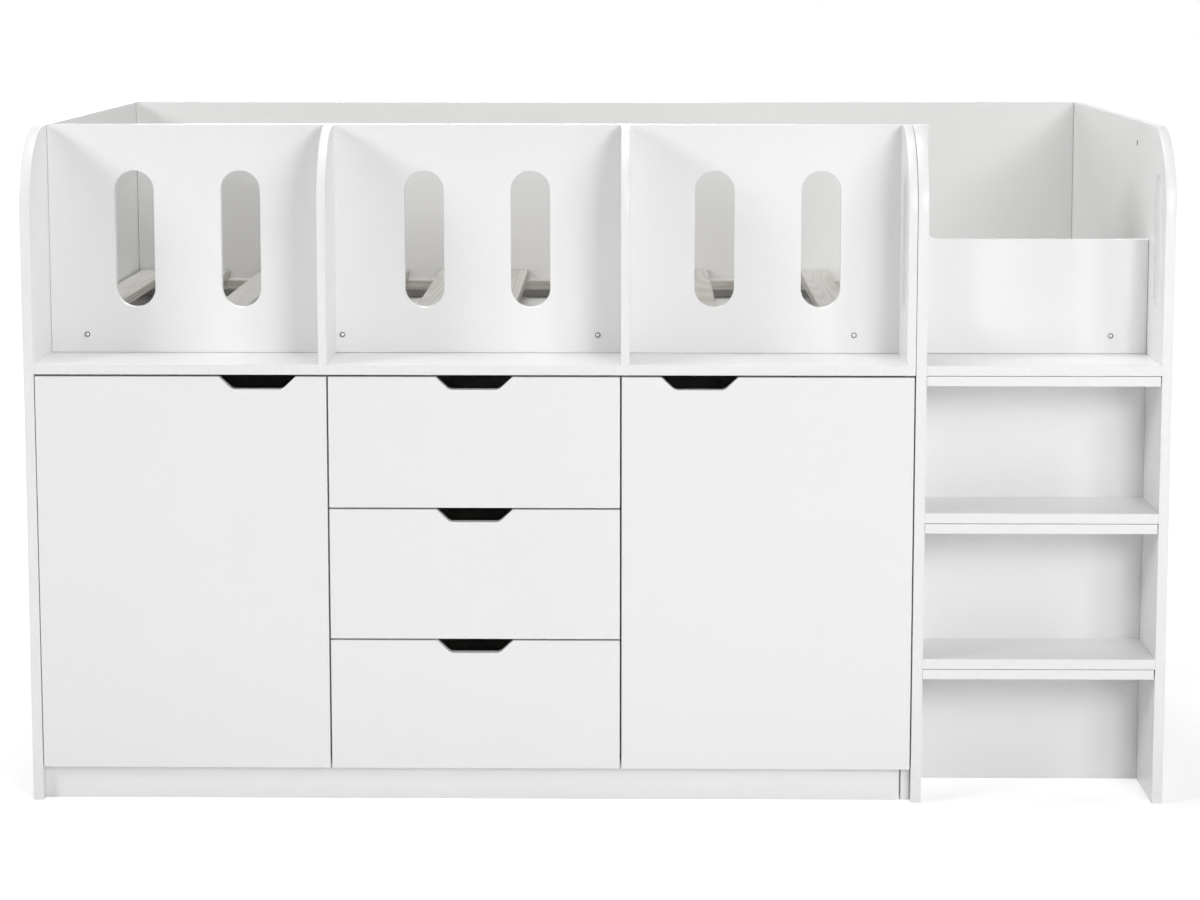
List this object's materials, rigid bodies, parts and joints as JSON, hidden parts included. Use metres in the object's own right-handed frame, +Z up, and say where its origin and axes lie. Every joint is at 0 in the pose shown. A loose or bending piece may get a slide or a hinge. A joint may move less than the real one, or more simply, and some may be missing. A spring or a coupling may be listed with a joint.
{
  "type": "cabin bed",
  "caption": "White mid-height cabin bed with a slatted base, open cubbies, hinged cupboards, sliding drawers and built-in side steps.",
  "frame": {"origin": "on the floor, under the middle of the bed's bounding box", "axes": "+Z up, +X along the bed towards the steps, -Y is the front with the doors, drawers and steps"},
  "size_m": [1.98, 1.108, 1.178],
  "materials": {
    "white_board": "white melamine-faced board, satin",
    "hardboard": "thin hardboard, painted white",
    "pine": "planed pine, bare",
    "steel": "nickel-plated",
    "runner_paint": "white powder coat"
  },
  "bodies": {
    "frame": {"left_end_panel": "white_board", "right_end_panel": "white_board", "rear_guard_panel": "white_board", "rear_middle_rail": "white_board", "rear_bottom_rail": "white_board", "rear_flat_rail": "white_board", "front_guard_panel": "white_board", "cabinet_top": "white_board", "cubby_divider_left": "white_board", "cubby_divider_right": "white_board", "cubby_end_divider": "white_board", "stair_side_panel": "white_board", "top_tread": "white_board", "middle_tread": "white_board", "bottom_tread": "white_board", "top_tread_rail": "white_board", "middle_tread_rail": "white_board", "bottom_tread_rail": "white_board", "stair_riser": "white_board", "plinth": "white_board", "cabinet_floor": "white_board", "partition_left": "white_board", "partition_right": "white_board", "cabinet_side": "white_board", "cabinet_back": "hardboard", "left_cupboard_shelf": "white_board", "right_cupboard_shelf": "white_board", "shelf_pins": "steel", "front_ledger": "pine", "rear_ledger": "pine", "bed_slats": "pine", "slat_screws": "steel", "guard_bolts": "steel", "cabinet_runners": "runner_paint", "left_hinge_arms": "steel", "right_hinge_arms": "steel"},
    "left_door": {"left_door": "white_board", "left_hinge_cups": "steel"},
    "left_links": {"left_hinge_links": "steel"},
    "right_door": {"right_door": "white_board", "right_hinge_cups": "steel"},
    "right_links": {"right_hinge_links": "steel"},
    "top_drawer": {"top_drawer_front": "white_board", "top_drawer_left": "white_board", "top_drawer_right": "white_board", "top_drawer_back": "white_board", "top_drawer_bottom": "hardboard", "top_drawer_runners": "runner_paint"},
    "middle_drawer": {"middle_drawer_front": "white_board", "middle_drawer_left": "white_board", "middle_drawer_right": "white_board", "middle_drawer_back": "white_board", "middle_drawer_bottom": "hardboard", "middle_drawer_runners": "runner_paint"},
    "bottom_drawer": {"bottom_drawer_front": "white_board", "bottom_drawer_left": "white_board", "bottom_drawer_right": "white_board", "bottom_drawer_back": "white_board", "bottom_drawer_bottom": "hardboard", "bottom_drawer_runners": "runner_paint"}
  },
  "joints": [
    {"name": "left_door_hinge", "type": "hinge", "parent": "frame", "child": "left_door", "pos_m": [-0.9705, -0.554, 0.4], "axis": [0, 0, -1], "range_deg": [0, 95]},
    {"name": "left_link_pin", "type": "hinge", "parent": "left_door", "child": "left_links", "pos_m": [-0.9505, -0.5405, 0.4], "axis": [0, 0, -1], "range_deg": [-78, 0]},
    {"name": "right_door_hinge", "type": "hinge", "parent": "frame", "child": "right_door", "pos_m": [0.5475, -0.554, 0.4], "axis": [0, 0, 1], "range_deg": [0, 95]},
    {"name": "right_link_pin", "type": "hinge", "parent": "right_door", "child": "right_links", "pos_m": [0.5275, -0.5405, 0.4], "axis": [0, 0, 1], "range_deg": [-78, 0]},
    {"name": "top_drawer_slide", "type": "slide", "parent": "frame", "child": "top_drawer", "axis": [0, -1, 0], "range_m": [0, 0.33]},
    {"name": "middle_drawer_slide", "type": "slide", "parent": "frame", "child": "middle_drawer", "axis": [0, -1, 0], "range_m": [0, 0.33]},
    {"name": "bottom_drawer_slide", "type": "slide", "parent": "frame", "child": "bottom_drawer", "axis": [0, -1, 0], "range_m": [0, 0.33]}
  ],
  "couplings": [
    {"joint": "left_link_pin", "follows": "left_door_hinge", "ratio": -0.82105},
    {"joint": "right_link_pin", "follows": "right_door_hinge", "ratio": -0.82105}
  ]
}
